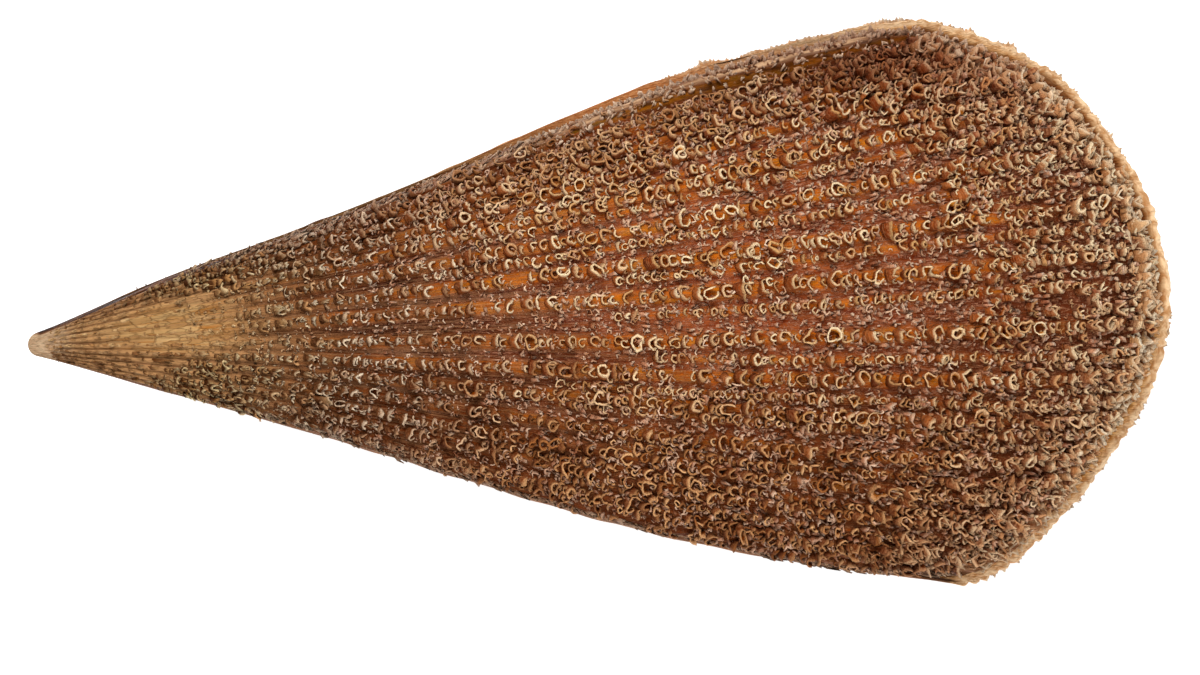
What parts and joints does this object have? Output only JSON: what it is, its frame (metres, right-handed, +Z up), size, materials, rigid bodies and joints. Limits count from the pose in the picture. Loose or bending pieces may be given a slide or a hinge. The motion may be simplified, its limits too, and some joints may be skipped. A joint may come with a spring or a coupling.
{
  "type": "pen shell",
  "caption": "Closed fan-shaped pen shell, narrow beak to broad rounded margin, covered in rows of small hollow standing scales.",
  "frame": {"origin": "on the resting surface, under the middle of the outline", "axes": "+X from the beak to the wide rounded end, +Y towards the belly edge, +Z up through both valves"},
  "size_m": [0.17, 0.0842, 0.0303],
  "materials": {
    "upper_valve": "satin, rough with cream-edged scales, orange-brown to purple-brown",
    "lower_valve": "satin, rough with cream-edged scales, tan lip",
    "ligament": "dark horny brown, satin"
  },
  "bodies": {
    "root": {"upper_valve": "upper_valve", "lower_valve": "lower_valve", "ligament": "ligament"}
  },
  "joints": []
}
